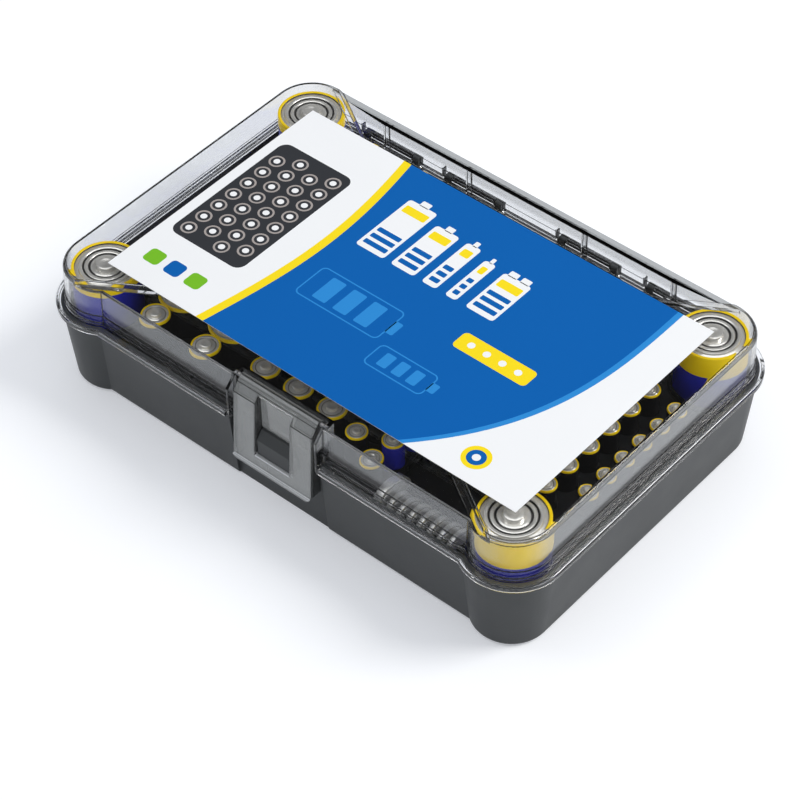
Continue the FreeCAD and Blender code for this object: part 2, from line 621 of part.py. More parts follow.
def lid_flange():
    """The flange that sits on the base's rim, with a skirt round the front and the ends."""
    skirt_foot = f"{PLATE} - skirt_drop"
    plain = tub("flange_plain", "flange_radius", skirt_foot, "flange_radius", FLANGE_TOP, "flange_setback")
    top = number(FLANGE_TOP) - 0.01
    rounded = round_edges("flange_rounded", plain, "flange_round", lambda edge: edge.BoundBox.ZMin > top)
    inner = "flange_radius - skirt_wall"
    under = tub("flange_under", inner, f"{skirt_foot} - {PAST}", inner, PLATE, "flange_setback")
    centre = tub("flange_centre", "lid_foot_radius - lid_wall", PLATE, "lid_foot_radius - lid_wall",
                 f"{FLANGE_TOP} + {PAST}", "lid_setback")
    behind = box("flange_behind", (f"-{FAR}", FAR), (f"{AXIS_Y} - pin_clearance", FAR), ("0", "case_height"))
    no_skirt = box("skirt_behind", (f"-{FAR}", FAR), ("skirt_stop", FAR), ("0", PLATE))
    return cut("lid_flange", rounded, under, centre, behind, no_skirt)


def lid_steps():
    """Two small ledges round the foot of the lid's wall."""
    made = []
    for name, rise, out in (("low_step", "low_step_rise", "low_step_out"),
                            ("high_step", "high_step_rise", "high_step_out")):
        radius = f"lid_foot_radius + {out}"
        made.append(tub(name, radius, PLATE, radius, f"{FLANGE_TOP} + {rise}", "lid_setback"))
    return made


def lid_knuckle():
    """The lid's part of a hinge: a barrel between the two lugs, joined to the wall."""
    reach = around("0", "hinge_lug_pitch / 2 - lug_thickness / 2 - knuckle_gap")
    barrel = cross_rod("barrel", "knuckle_radius", reach, AXIS_Y, "hinge_height")
    web = box("barrel_web", reach, (f"{CORNER_Y} + lid_foot_radius - lid_wall / 2", AXIS_Y),
              ("hinge_height - web_low", "hinge_height + web_high"))
    bore = cross_rod("barrel_bore", "hinge_rod_radius + pin_clearance", around("0", "hinge_lug_pitch"),
                     AXIS_Y, "hinge_height")
    return cut("lid_knuckle", fuse("barrel_solid", barrel, web), bore)


def make_lid_shell():
    wall_back = f"{CORNER_Y} + lid_foot_radius"
    notches = [box("hinge_notch", around(spot, "notch_half"), (wall_back, FAR), ("0", "notch_top"))
               for spot in hinge_places()]
    tabs = [box("hinge_tab", (f"{spot} - notch_half", f"{spot} - notch_half + tab_width"),
                (f"{wall_back} - lid_wall / 2", f"{AXIS_Y} - pin_clearance"), (PLATE, "notch_top"))
            for spot in hinge_places()]
    rib_root = f"{CORNER_Y} + lid_top_radius - lid_wall"
    ribs = [box("wall_rib", around(spot, "rib_width / 2"),
                (f"{rib_root} - rib_depth", f"{rib_root} + lid_wall / 2"),
                (FLANGE_TOP, f"{MARGIN_TOP} - lid_wall / 2")) for spot in hinge_places()]
    inside = f"{FRONT} + lid_bay_depth"
    outside = f"{FRONT} - {PAST}"
    above = f"case_height + {PAST}"
    step = f"{FRONT} + bay_depth"
    bay = side_block("lid_bay", "cheek_half - cheek_wall", (
        (inside, FLANGE_TOP), (inside, above), (outside, above), (outside, PAST), (step, PAST),
        (step, FLANGE_TOP)))
    beside_bay = box("flange_bay", around("0", "bay_half"), (outside, f"{FRONT} + cheek_depth"),
                     ("0", "case_height"))
    over_cheeks = side_block("over_cheeks", "cheek_half", (
        (f"{FRONT} + cheek_depth", f"{MARGIN_TOP} - cheek_slope"),
        (f"{FRONT} + cheek_top_depth", MARGIN_TOP), (f"{FRONT} + cheek_top_depth", above),
        (outside, above), (outside, f"{MARGIN_TOP} - cheek_slope")))
    cheeks = side_block("cheeks", "cheek_half", bay_block_outline())
    walls = cut("lid_walls_hollow", fuse("lid_skin", lid_outside(), *lid_steps()), lid_hollow(), *notches)
    flange = cut("flange_notched", lid_flange(), *notches)
    solid = fuse("lid_solid", walls, flange, cheeks, *tabs, *ribs)
    pin_hole = cross_rod("cheek_hole", "pin_radius + pin_clearance", around("0", "bay_half"), PIN_Y, PIN_Z)
    open_lid = cut("lid_open", solid, bay, beside_bay, over_cheeks, pin_hole)
    knuckle = lid_knuckle()
    knuckles = [shifted(knuckle, "lid_knuckle_copy", spot) for spot in hinge_places()]
    return fuse("lid_shell", open_lid, *knuckles)


def make_label_card():
    return box("label_card", around("card_shift", "card_length / 2"), around("-card_drop", "card_width / 2"),
               (LID_TOP, "case_height"))


# Latch -------------------------------------------------------------------------------------------

def latch_skin_points():
    """Outer and inner lines of the latch's front skin, from its top edge to the lip at its foot."""
    edge = (f"{FRONT} + latch_edge_depth", f"{LID_TOP} - latch_edge_drop")
    crease = (f"{FRONT} + latch_crease_depth", f"{LID_TOP} - latch_crease_drop")
    foot = (f"{FRONT} + latch_foot_depth", "latch_foot")
    lip = f"{FRONT} + latch_lip_depth"
    low = "latch_foot - latch_lip_drop"
    return (edge, crease, foot, (lip, "latch_foot"), (lip, low), (f"{foot[0]} + latch_wall", low),
            (f"{crease[0]} + latch_wall", f"{crease[1]} - latch_inner_drop"),
            (f"{edge[0]} + latch_top_wall", f"{edge[1]} - latch_top_drop"))


def latch_side_points():
    """Outline of the side rims, which reach back behind the skin."""
    crease = (f"{FRONT} + latch_crease_depth", f"{LID_TOP} - latch_crease_drop")
    foot = (f"{FRONT} + latch_foot_depth", "latch_foot")
    back = f"{FRONT} + latch_back_depth"
    return ((f"{FRONT} + latch_edge_depth", f"{LID_TOP} - latch_edge_drop"), crease, foot,
            (foot[0], "latch_foot - latch_lip_drop"), (back, "latch_foot - latch_lip_drop"),
            (back, crease[1]), (PIN_Y, f"{PIN_Z} - eye_radius"), (PIN_Y, PIN_Z))


def latch_corner_cutter(sign):
    """What is taken off a lower corner of the latch to round it."""
    low = "latch_foot - latch_lip_drop"
    inner = f"{sign}(latch_half - latch_corner)"
    outer = f"{sign}(latch_half + {PAST})"
    block = box("corner_block", (inner, outer) if sign == "" else (outer, inner),
                (f"{FRONT} - {PAST}", f"{FRONT} + latch_back_depth + {PAST}"),
                (f"{low} - {PAST}", f"{low} + latch_corner"))
    kept = doc.addObject("Part::Cylinder", "corner_kept")
    kept.Placement = Placement(Vector(), Rotation(Vector(1, 0, 0), -90))
    bind(kept, Radius="latch_corner", Height=f"latch_back_depth + 4 * {PAST}")
    place(kept, inner, f"{FRONT} - 2 * {PAST}", f"{low} + latch_corner")
    return cut("corner_cutter", block, kept)


def make_latch_plate():
    skin = side_block("latch_skin", "latch_half", latch_skin_points())
    sides = side_block("latch_sides", "latch_half", latch_side_points())
    between = box("between_sides", around("0", "latch_half - latch_rim"), (FRONT, "0"), ("0", "case_height"))
    rims = cut("latch_rims", sides, between)
    back = f"{FRONT} + latch_back_depth"
    crease = f"{LID_TOP} - latch_crease_drop"
    roof = "finger_top + finger_wall"
    finger = side_block("finger_walls", "finger_half + finger_wall", (
        (f"{FRONT} + latch_crease_depth + latch_wall / 2", crease),
        (f"{FRONT} + latch_foot_depth + latch_wall / 2", "window_foot"), (back, "window_foot"), (back, roof),
        (f"{FRONT} + finger_depth", roof)))
    eye = cross_rod("latch_eye", "eye_radius", around("0", "latch_half"), PIN_Y, PIN_Z)
    eye_web = side_block("eye_web", "latch_half", (
        (f"{FRONT} + latch_edge_depth + latch_top_wall / 2",
         f"{LID_TOP} - latch_edge_drop - latch_top_drop / 2"),
        (f"{FRONT} + finger_depth - finger_wall / 2", roof), (PIN_Y, f"{PIN_Z} - eye_radius"),
        (PIN_Y, f"{PIN_Z} + eye_radius")))
    solid = fuse("latch_solid", skin, rims, finger, eye, eye_web)
    hollow = box("finger_space", around("0", "finger_half"),
                 (f"{FRONT} - {PAST}", f"{FRONT} + finger_depth"), ("window_top", "finger_top"))
    window = box("latch_window", around("0", "finger_half"), (f"{FRONT} - {PAST}", f"{back} + {PAST}"),
                 ("window_foot", "window_top"))
    bore = cross_rod("eye_bore", "pin_radius + pin_clearance", around("0", "bay_half"), PIN_Y, PIN_Z)
    return cut("latch_plate", solid, hollow, window, bore, latch_corner_cutter(""), latch_corner_cutter("-"))


def make_pins():
    latch_pin = cross_rod("latch_pin", "pin_radius", around("0", "cheek_half"), PIN_Y, PIN_Z)
    rods = [cross_rod("hinge_rod", "hinge_rod_radius",
                      around(spot, "hinge_lug_pitch / 2 + lug_thickness / 2"), AXIS_Y, "hinge_height")
            for spot in hinge_places()]
    return [latch_pin, group("hinge_rods", rods)]


# Build and write ---------------------------------------------------------------------------------

def check(nodes):
    """Stop on any object that failed, and on any node with no valid shape."""
    for item in doc.Objects:
        if "Invalid" in item.State or "Error" in item.State:
            raise RuntimeError(f"{item.Label} failed")
    for node in nodes:
        if node.Shape.isNull() or not node.Shape.isValid():
            raise RuntimeError(f"{node.Label} has no valid shape")


def write(nodes):
    os.makedirs("parts", exist_ok=True)
    for node in nodes:
        node.Shape.exportStep(f"parts/{node.Label}.step")
        bounds = node.Shape.BoundBox
        print(f"{node.Label}: {len(node.Shape.Solids)} solids, z {bounds.ZMin:.2f} to {bounds.ZMax:.2f},"
              f" volume {node.Shape.Volume:.0f}")


fill_sheet()
nodes = [make_base_shell(), make_main_tray(), make_coin_cells(), make_lid_shell(), make_label_card(),
         make_latch_plate()]
nodes += make_end_racks() + make_round_cells() + make_blocks() + make_pins()
doc.recompute()
check(nodes)
write(nodes)
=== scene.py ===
import math

import bmesh
import bpy
from mathutils import Matrix, Vector


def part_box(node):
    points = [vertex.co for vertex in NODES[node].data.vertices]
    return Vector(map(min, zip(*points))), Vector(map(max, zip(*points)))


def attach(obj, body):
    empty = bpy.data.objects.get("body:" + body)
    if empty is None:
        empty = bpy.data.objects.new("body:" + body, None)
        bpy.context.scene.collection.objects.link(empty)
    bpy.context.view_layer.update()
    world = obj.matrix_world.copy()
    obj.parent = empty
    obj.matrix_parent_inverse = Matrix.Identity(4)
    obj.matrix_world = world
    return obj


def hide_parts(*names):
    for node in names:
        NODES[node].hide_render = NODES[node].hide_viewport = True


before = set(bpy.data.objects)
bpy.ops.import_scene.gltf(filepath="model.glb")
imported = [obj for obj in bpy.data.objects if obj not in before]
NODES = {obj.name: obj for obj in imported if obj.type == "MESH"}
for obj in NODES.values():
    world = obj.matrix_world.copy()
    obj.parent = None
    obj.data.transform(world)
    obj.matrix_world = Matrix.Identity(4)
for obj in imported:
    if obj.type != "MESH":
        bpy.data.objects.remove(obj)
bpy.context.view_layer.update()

MM = 0.001


# Places read from the frame -------------------------------------------------------------------

def islands(node):
    """The separate solids of a CAD node, as (low corner, high corner) in metres, in a steady
    order."""
    mesh = NODES[node].data
    keys = [tuple(round(v, 6) for v in vertex.co) for vertex in mesh.vertices]
    parent = {}

    def root(key):
        while parent.setdefault(key, key) != key:
            parent[key] = parent[parent[key]]
            key = parent[key]
        return key

    for polygon in mesh.polygons:
        first, *rest = [keys[index] for index in polygon.vertices]
        for other in rest:
            parent[root(other)] = root(first)
    found = {}
    for key in keys:
        found.setdefault(root(key), []).append(key)
    boxes = [[Vector([pick(point[axis] for point in points) for axis in range(3)])
              for pick in (min, max)] for points in found.values()]
    return sorted(boxes, key=lambda pair: (round(pair[0].x, 4), round(pair[0].y, 4)))


def foot_of(low, high):
    """The middle of a box's underside."""
    return Vector(((low.x + high.x) / 2, (low.y + high.y) / 2, low.z))


# Outlines and meshes --------------------------------------------------------------------------

CIRCLE_STEPS = 40
CORNER_STEPS = 6
# an edge sharper than this, in degrees, isn't smoothed over
SMOOTH_ANGLE = 35.0


def circle(x, y, radius, steps=CIRCLE_STEPS):
    angles = [2 * math.pi * step / steps for step in range(steps)]
    return [(x + radius * math.cos(angle), y + radius * math.sin(angle)) for angle in angles]


def rounded(x, y, half_x, half_y, radius):
    """A rectangle with rounded corners round a point, anticlockwise."""
    points = []
    for quarter, (side_x, side_y) in enumerate(((1, 1), (-1, 1), (-1, -1), (1, -1))):
        for step in range(CORNER_STEPS + 1):
            angle = math.pi / 2 * (quarter + step / CORNER_STEPS)
            points.append((x + side_x * (half_x - radius) + radius * math.cos(angle),
                           y + side_y * (half_y - radius) + radius * math.sin(angle)))
    return points


def join_rings(bm, low, high, slot):
    """Joins two rings of vertices with faces. A ring of one vertex is a pole."""
    count = max(len(low), len(high))
    for step in range(count):
        after = (step + 1) % count
        if len(low) == 1:
            corners = (low[0], high[after], high[step])
        elif len(high) == 1:
            corners = (low[step], low[after], high[0])
        else:
            corners = (low[step], low[after], high[after], high[step])
        bm.faces.new(corners).material_index = slot


def add_turned(bm, profile, place, segments, slots=None, turn=Matrix.Identity(4)):
    """Adds a closed turned solid. profile is (radius, height) in mm from the bottom centre to the
    top centre, and slots gives each stretch of it its material."""
    move = Matrix.Translation(place) @ turn
    rings = []
    for radius, height in profile:
        points = circle(0, 0, radius, segments) if radius else [(0, 0)]
        rings.append([bm.verts.new(move @ (Vector((x, y, height)) * MM)) for x, y in points])
    for low, high, slot in zip(rings, rings[1:], slots or [0] * len(rings)):
        join_rings(bm, low, high, slot)


def add_stack(bm, layers, slots):
    """Adds a closed solid through layers of points in metres, lowest first. slots gives each
    stretch its material. The bottom shares the first one and the top shares the last."""
    rings = [[bm.verts.new(point) for point in layer] for layer in layers]
    bm.faces.new(list(reversed(rings[0]))).material_index = slots[0]
    bm.faces.new(rings[-1]).material_index = slots[-1]
    for low, high, slot in zip(rings, rings[1:], slots):
        join_rings(bm, low, high, slot)


def add_object(name, bm, smooth_angle=SMOOTH_ANGLE):
    """Makes an object of a mesh, smooth apart from its sharp edges."""
    mesh = bpy.data.meshes.new(name)
    bm.normal_update()
    limit = math.radians(smooth_angle)
    for face in bm.faces:
        face.smooth = True
    for edge in bm.edges:
        edge.smooth = not (edge.is_manifold and edge.calc_face_angle(0.0) > limit)
    bm.to_mesh(mesh)
    bm.free()
    item = bpy.data.objects.new(name, mesh)
    bpy.context.scene.collection.objects.link(item)
    return item


def give(item, *materials):
    """Gives an object these materials in place of any that it has. Its faces keep the slots they
    have only if there is nothing to clear."""
    if item.data.materials:
        item.data.materials.clear()
    for material in materials:
        item.data.materials.append(material)


# Words for building nodes ---------------------------------------------------------------------

def scaled(colour, factor):
    return tuple(min(1.0, v * factor) for v in colour)


class Tree:
    """Short words for building the nodes of a material or a world."""

    def __init__(self, owner, output="OutputMaterial"):
        owner.use_nodes = True
        self.owner = owner
        self.nodes = owner.node_tree.nodes
        self.links = owner.node_tree.links
        self.nodes.clear()
        self.out = self.node(output)

    def node(self, kind, **inputs):
        made = self.nodes.new(f"ShaderNode{kind}")
        for key, value in inputs.items():
            self.put(made.inputs[key.replace("_", " ")], value)
        return made

    def put(self, socket, value):
        if isinstance(value, bpy.types.NodeSocket):
            self.links.new(value, socket)
        elif isinstance(value, tuple):
            socket.default_value = (*value, 1.0)
        else:
            socket.default_value = value

    def math(self, operation, first, second=0.0, third=0.0, clamp=False):
        made = self.nodes.new("ShaderNodeMath")
        made.operation = operation
        made.use_clamp = clamp
        for socket, value in zip(made.inputs, (first, second, third)):
            self.put(socket, value)
        return made.outputs[0]

    def times(self, first, second):
        return self.math("MULTIPLY", first, second)

    def most(self, first, *others):
        for other in others:
            first = self.math("MAXIMUM", first, other)
        return first

    def mix(self, factor, first, second):
        made = self.nodes.new("ShaderNodeMix")
        made.data_type = "RGBA"
        self.put(made.inputs["Factor"], factor)
        self.put(made.inputs["A"], first)
        self.put(made.inputs["B"], second)
        return made.outputs["Result"]

    def tint(self, colour, factor, low, high):
        """A colour that goes from low to high times its own value with factor."""
        return self.mix(factor, scaled(colour, low), scaled(colour, high))

    def mix_shaders(self, factor, first, second):
        made = self.node("MixShader", Fac=factor)
        self.links.new(first, made.inputs[1])
        self.links.new(second, made.inputs[2])
        return made.outputs[0]

    def coordinate(self, kind):
        return self.node("TexCoord").outputs[kind]

    def axes(self, kind):
        """The X, Y and Z of a texture coordinate."""
        return self.node("SeparateXYZ", Vector=self.coordinate(kind)).outputs

    def noise(self, scale, detail=3.0, roughness=0.5):
        return self.node("TexNoise", Vector=self.coordinate("Object"), Scale=scale, Detail=detail,
                         Roughness=roughness).outputs["Fac"]

    def rough(self, middle, spread, scale, detail=3.0):
        """A roughness that wanders by spread round its middle value."""
        return self.math("MULTIPLY_ADD", self.noise(scale, detail), spread, middle - spread / 2)

    def bump(self, height, distance):
        return self.node("Bump", Height=height, Distance=distance).outputs["Normal"]

    def surface(self, shader):
        self.links.new(shader, self.out.inputs["Surface"])
        return self.owner


def new_tree(name):
    return Tree(bpy.data.materials.new(name))


def rgb(red, green, blue):
    """A screen colour as the light values that a shader needs."""
    return tuple(((v / 255 + 0.055) / 1.055) ** 2.4 if v > 10 else v / 255 / 12.92
                 for v in (red, green, blue))


# Opaque materials -----------------------------------------------------------------------------

def plastic(name, colour, gloss=0.5):
    """Moulded plastic: a fine spark-eroded grain, and a colour that drifts a little."""
    tree = new_tree(name)
    shader = tree.node("BsdfPrincipled", IOR=1.5, Specular_IOR_Level=gloss,
                       Base_Color=tree.tint(colour, tree.noise(18.0, 2.0), 0.88, 1.12),
                       Roughness=tree.rough(0.45, 0.12, 60.0, 2.0),
                       Normal=tree.bump(tree.noise(900.0, 2.0), 0.00003))
    return tree.surface(shader.outputs[0])


def metal(name, colour, roughness, metallic=0.7):
    """Plated steel with faint stains and a little wear in its shine."""
    tree = new_tree(name)
    shader = tree.node("BsdfPrincipled", Metallic=metallic,
                       Base_Color=tree.tint(colour, tree.noise(60.0, 3.0, 0.6), 0.9, 1.0),
                       Roughness=tree.rough(roughness, 0.1, 150.0),
                       Normal=tree.bump(tree.noise(240.0, 2.0), 0.000004))
    return tree.surface(shader.outputs[0])


def jacket(name, colour, roughness):
    """A shrink-wrapped printed sleeve: glossy ink with a slight ripple."""
    tree = new_tree(name)
    shader = tree.node("BsdfPrincipled", IOR=1.5, Specular_IOR_Level=0.18,
                       Base_Color=tree.tint(colour, tree.noise(90.0), 0.9, 1.1),
                       Roughness=tree.rough(roughness, 0.1, 300.0),
                       Normal=tree.bump(tree.noise(160.0, 2.0), 0.00003))
    return tree.surface(shader.outputs[0])


def card(name, colour):
    """Coated printed card: flat ink, with the fibre just showing."""
    tree = new_tree(name)
    fibre = tree.noise(1400.0, 3.0, 0.6)
    drift = tree.noise(25.0, 2.0)
    amount = tree.math("MULTIPLY_ADD", fibre, 0.5, tree.times(drift, 0.5))
    shader = tree.node("BsdfPrincipled", IOR=1.4, Specular_IOR_Level=0.15, Roughness=0.5,
                       Base_Color=tree.tint(colour, amount, 0.965, 1.03),
                       Normal=tree.bump(fibre, 0.000012))
    return tree.surface(shader.outputs[0])


# Clear materials ------------------------------------------------------------------------------

CLEAR_IOR = 1.39
EDGE_ON_POWER = 4.0
# a face counts as looking along an axis by this power of its normal
SQUARE_ON_POWER = 10.0
DARK_GLASS = (0.01, 0.01, 0.012)
# milky grey, painted light: the painted reflection on the lid's walls and the painted highlights
# on its back rim and the latch's ledge
PAINTED_LIGHT_GREY = (0.5, 0.515, 0.525)

# the painted reflection, a milky band on an upright wall, starts this high up, and fades in over
# this height
PAINTED_REFLECTION_FOOT, PAINTED_REFLECTION_BLEND = 0.0555, 0.0012
# how strong that painted reflection is on the right, and the share of it that the front and the
# back have
PAINTED_REFLECTION, PAINTED_REFLECTION_SHARE = 0.3, 0.62
# behind this line the lid's flat top stands over its back wall, and gets painted light there for
# that wall's pale end seen through it
BACK_RIM, BACK_RIM_PAINTED_LIGHT = 0.0894, 0.88
# a rounded edge has a line of painted shade where it leaves the wall and another where it meets
# the top, where light is bent away: how far up its face looks there, and how far either side of
# that the line goes
EDGE_LINES = ((0.29, 0.09), (0.93, 0.03))
LINE_PAINTED_SHADE = 0.95
# painted shade on the foot of the right wall, where the dark rim behind it shows, and less on the
# front's
FOOT_PAINTED_SHADE, FRONT_FOOT_SHARE = 0.7, 0.5
# the hinge knuckles stand behind the lid's back wall, round this height, and get painted shade
KNUCKLE_FRONT, KNUCKLE_HEIGHT, KNUCKLE_REACH, KNUCKLE_PAINTED_SHADE = 0.0932, 0.05, 0.003, 0.88

# painted shade on the narrow sides and ends of the latch, this dark
LATCH_SIDE_PAINTED_SHADE = 0.8
# the ledge at the latch's foot lies lower than this, and gets a painted highlight
LEDGE_TOP, LEDGE_PAINTED_HIGHLIGHT = 0.03, 0.9
# an eased edge of the ledge gets a painted highlight if it faces up more than this
LEDGE_EDGE_UP = 0.15


def square_on(tree):
    """How squarely a face looks along X, Y and Z, either way."""
    facing = tree.axes("Normal")
    return [tree.math("POWER", tree.math("ABSOLUTE", facing[axis]), SQUARE_ON_POWER)
            for axis in "XYZ"]


def lid_parts(tree):
    """Where shade is painted on the lid: the lines along its rounded edge, the foot of its walls
    and the hinge knuckles. Then where light is painted, as a milky grey: a painted reflection in
    the band round its walls, which leaves out the top and the corners, and the rim along its back."""
    along, across, up = square_on(tree)
    spot = tree.axes("Object")
    tilt = tree.math("ABSOLUTE", tree.axes("Normal")["Z"])
    right = tree.times(along, tree.math("GREATER_THAN", spot["X"], 0.0))
    front = tree.times(across, tree.math("LESS_THAN", spot["Y"], 0.0))
    banded = tree.math("MULTIPLY_ADD", spot["Z"], 1 / PAINTED_REFLECTION_BLEND, -PAINTED_REFLECTION_FOOT / PAINTED_REFLECTION_BLEND,
                       clamp=True)

    lines = tree.most(*[tree.math("COMPARE", tilt, *line) for line in EDGE_LINES])
    foot = tree.times(tree.math("MULTIPLY_ADD", front, FRONT_FOOT_SHARE, right, clamp=True),
                      tree.math("SUBTRACT", 1.0, banded))
    knuckle = tree.times(tree.math("GREATER_THAN", spot["Y"], KNUCKLE_FRONT),
                         tree.math("COMPARE", spot["Z"], KNUCKLE_HEIGHT, KNUCKLE_REACH))
    # painted shade: the edge lines, the foot of the walls and the knuckles
    dark = tree.most(tree.times(lines, LINE_PAINTED_SHADE), tree.times(foot, FOOT_PAINTED_SHADE),
                     tree.times(knuckle, KNUCKLE_PAINTED_SHADE))

    # painted reflection on the walls, and painted light on the back rim
    upright = tree.math("MULTIPLY_ADD", across, PAINTED_REFLECTION_SHARE, right, clamp=True)
    back_rim_light = tree.times(up, tree.math("GREATER_THAN", spot["Y"], BACK_RIM))
    painted_light = tree.most(tree.times(upright, PAINTED_REFLECTION), tree.times(back_rim_light, BACK_RIM_PAINTED_LIGHT))
    return dark, tree.times(painted_light, banded)


def latch_parts(tree):
    """The painted shade of the latch, on its narrow sides and ends, and its painted highlight, on
    its ledge.
    """
    along, _, up = square_on(tree)
    ledge = tree.times(up, tree.math("LESS_THAN", tree.axes("Object")["Z"], LEDGE_TOP))
    shaded_ends = tree.math("SUBTRACT", tree.math("ADD", along, up, clamp=True), ledge, clamp=True)
    return tree.times(shaded_ends, LATCH_SIDE_PAINTED_SHADE), tree.times(ledge, LEDGE_PAINTED_HIGHLIGHT)


def clear_plastic(name, tint, shade, clearness=1.0, roughness=0.01, parts=None):
    """Clear moulded plastic with a smoky tint. It bends and mirrors what is seen through it, and
    lets light through to what it holds, shade times as strong. A face seen edge-on is darker,
    because light has further to go in it. parts gives the places of painted shade, and the milky
    places of painted light."""
    tree = new_tree(name)
    dark = tree.math("POWER", tree.node("LayerWeight", Blend=0.5).outputs["Facing"],
                     EDGE_ON_POWER)
    if parts:
        painted_shade, painted_light = parts(tree)
        dark = tree.most(dark, painted_shade)
    colour = tree.mix(dark, tree.tint(tint, tree.noise(12.0, 2.0), 0.98, 1.01), DARK_GLASS)
    solid = tree.node("BsdfPrincipled", Base_Color=colour, IOR=CLEAR_IOR,
                      Roughness=tree.rough(roughness, 0.01, 30.0, 2.0),
                      Transmission_Weight=clearness).outputs[0]
    # painted light: a milky diffuse grey mixed in where parts say
    if parts:
        painted_light_shader = tree.node("BsdfDiffuse", Color=PAINTED_LIGHT_GREY).outputs[0]
        solid = tree.mix_shaders(painted_light, solid, painted_light_shader)
    path = tree.node("LightPath").outputs
    lighting = tree.most(path["Is Shadow Ray"], path["Is Diffuse Ray"])
    window = tree.node("BsdfTransparent", Color=(shade, shade, shade)).outputs[0]
    return tree.surface(tree.mix_shaders(lighting, solid, window))


def latch_edge(name):
    """The eased edges of the latch: near-black all round, as painted shade, and a painted
    highlight along the ledge at its foot.
    """
    tree = new_tree(name)
    # painted highlight on the ledge's up-facing edges
    painted_highlight = tree.times(tree.math("LESS_THAN", tree.axes("Object")["Z"], LEDGE_TOP),
                      tree.math("GREATER_THAN", tree.axes("Normal")["Z"], LEDGE_EDGE_UP))
    shader = tree.node("BsdfPrincipled", IOR=1.5, Specular_IOR_Level=0.3,
                       Base_Color=tree.mix(painted_highlight, rgb(14, 14, 15), rgb(235, 236, 238)),
                       Roughness=tree.rough(0.17, 0.1, 60.0, 2.0))
    return tree.surface(shader.outputs[0])


BASE_PLASTIC = plastic("base_plastic", rgb(68, 70, 71), gloss=0.22)
TRAY_PLASTIC = plastic("tray_plastic", rgb(19, 20, 22), gloss=0.2)
LID_CLEAR = clear_plastic("lid_clear", (0.95, 0.957, 0.968), 0.985, parts=lid_parts)
# the lid's eased edges are near-black: painted shade for how clear plastic looks dark there
LID_EDGE = clear_plastic("lid_edge", (0.05, 0.052, 0.056), 0.9, clearness=0.9, roughness=0.035)
LATCH_CLEAR = clear_plastic("latch_clear", (0.78, 0.795, 0.785), 0.85, clearness=0.78,
                            parts=latch_parts)
LATCH_EDGE = latch_edge("latch_edge")
PIN_STEEL = metal("pin_steel", rgb(150, 150, 152), 0.3)
CELL_STEEL = metal("cell_steel", rgb(236, 234, 228), 0.2, 0.62)
DARK_STEEL = metal("dark_steel", rgb(74, 73, 72), 0.3)
COIN_STEEL = metal("coin_steel", rgb(250, 250, 248), 0.2, 0.55)
SEAL = plastic("seal_plastic", rgb(30, 30, 34))
YELLOW = jacket("yellow_jacket", rgb(255, 212, 6), 0.3)
BLUE = jacket("blue_jacket", rgb(40, 44, 168), 0.2)
BLACK = jacket("black_jacket", rgb(14, 14, 16), 0.22)
PRINT_INKS = [card(name, colour) for name, colour in (
    ("print_white", rgb(246, 247, 248)), ("print_blue", rgb(0, 96, 176)),
    ("print_light_blue", rgb(45, 140, 214)), ("print_yellow", rgb(255, 225, 30)),
    ("print_dark", rgb(52, 54, 58)), ("print_grey", rgb(168, 160, 156)),
    ("print_green", rgb(120, 190, 40)))]


# CAD nodes that are kept ----------------------------------------------------------------------

for tray in ("main_tray", "coin_rack", "bin_rack", "end_rack", "spare_rack", "corner_rack"):
    give(NODES[tray], TRAY_PLASTIC)
give(NODES["latch_pin"], PIN_STEEL)
give(NODES["hinge_rods"], DARK_STEEL)


# Mouldings with eased edges -------------------------------------------------------------------

# how far the sharp edges are cut back, and the shortest edge that is, in mm
EASE, SHORTEST_EDGE = 0.3, 0.36
# an edge is sharp past the first angle, and flat faces join below the second, in degrees
SHARP_ANGLE, FLAT_ANGLE = 28, 0.4
MOULDING_SMOOTH_ANGLE = 50.0
# vertices this close are one, in metres
WELD = 0.000002


def eased_moulding(node, name, body, slot, *materials):
    """The CAD node's own shape with every sharp edge eased, as a moulding's edges are. A second
    material is for the eased edges, which look dark in clear plastic; it paints that dark as
    painted shade."""
    bm = bmesh.new()
    bm.from_mesh(NODES[node].data)
    bmesh.ops.remove_doubles(bm, verts=bm.verts, dist=WELD)
    bmesh.ops.dissolve_limit(bm, angle_limit=math.radians(FLAT_ANGLE), verts=bm.verts,
                             edges=bm.edges)
    bm.normal_update()
    for face in bm.faces:
        face.material_index = 0
    sharp = [edge for edge in bm.edges
             if edge.is_manifold and edge.calc_face_angle(0.0) > math.radians(SHARP_ANGLE)
             and edge.calc_length() > SHORTEST_EDGE * MM]
    bmesh.ops.bevel(bm, geom=sharp, offset=EASE * MM, offset_type="OFFSET", segments=2,
                    profile=0.5, affect="EDGES", clamp_overlap=False, loop_slide=False,
                    material=len(materials) - 1)
    bmesh.ops.remove_doubles(bm, verts=bm.verts, dist=WELD)
    item = add_object(name, bm, MOULDING_SMOOTH_ANGLE)
    flat = item.modifiers.new("flat_faces_stay_flat", "WEIGHTED_NORMAL")
    flat.mode = "FACE_AREA"
    flat.weight = 100
    flat.keep_sharp = True
    give(item, *materials)
    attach(item, body)
    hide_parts(node)


eased_moulding("base_shell", "base_moulding", "base", "base_plastic", BASE_PLASTIC)
eased_moulding("lid_shell", "lid_moulding", "lid", "lid_clear", LID_CLEAR, LID_EDGE)
eased_moulding("latch_plate", "latch_moulding", "latch", "latch_clear", LATCH_CLEAR, LATCH_EDGE)


# Round cells ----------------------------------------------------------------------------------

